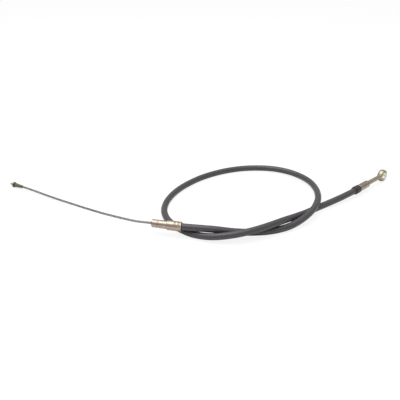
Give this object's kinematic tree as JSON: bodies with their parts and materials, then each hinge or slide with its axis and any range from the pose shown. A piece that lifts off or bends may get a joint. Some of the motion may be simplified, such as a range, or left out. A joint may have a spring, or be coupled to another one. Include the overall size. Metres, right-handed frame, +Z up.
{
  "type": "brake cable",
  "caption": "Parking brake cable: stranded wire rope sliding in a plastic-covered spiral sheath, with metal ferrules, a mushroom nipple on one end and a ring eye on the other, loosely knotted.",
  "frame": {"origin": "on the surface the cable lies on, below the middle of its bounding box", "axes": "+X is the way the lever-end eye is pulled and the longest extent, +Z is up from the surface, and the eye's hole runs along Y"},
  "size_m": [0.4243, 0.3667, 0.0197],
  "materials": {
    "nipple_steel": "zinc plated, satin",
    "wire_rope": "galvanised strands, lightly oiled",
    "seal_rubber": "matte",
    "ferrule_steel": "yellow zinc plated, satin",
    "jacket_plastic": "extruded, satin",
    "wrap_steel": "rolled",
    "liner_plastic": "smooth",
    "collar_rubber": "moulded, satin",
    "eye_steel": "forged and zinc plated, dull"
  },
  "bodies": {
    "sheath": {"sheath_jacket": "jacket_plastic", "conduit_wrap": "wrap_steel", "conduit_liner": "liner_plastic", "inner_wire": "wire_rope", "drum_end_ferrule": "ferrule_steel", "drum_end_seal": "seal_rubber", "lever_end_ferrule": "ferrule_steel", "lever_end_seal": "seal_rubber", "sheath_end_collar": "collar_rubber"},
    "drum_end": {"drum_end_wire": "wire_rope", "end_nipple": "nipple_steel"},
    "lever_end": {"lever_end_wire": "wire_rope", "eye_end": "eye_steel"}
  },
  "joints": [
    {"name": "lever_end_slide", "type": "slide", "parent": "sheath", "child": "lever_end", "axis": [1, 0, 0], "range_m": [0, 0.02]},
    {"name": "drum_end_slide", "type": "slide", "parent": "sheath", "child": "drum_end", "axis": [0.5519, -0.8339, 0], "range_m": [0, 0.02]}
  ],
  "couplings": [
    {"joint": "drum_end_slide", "follows": "lever_end_slide", "ratio": 1}
  ]
}
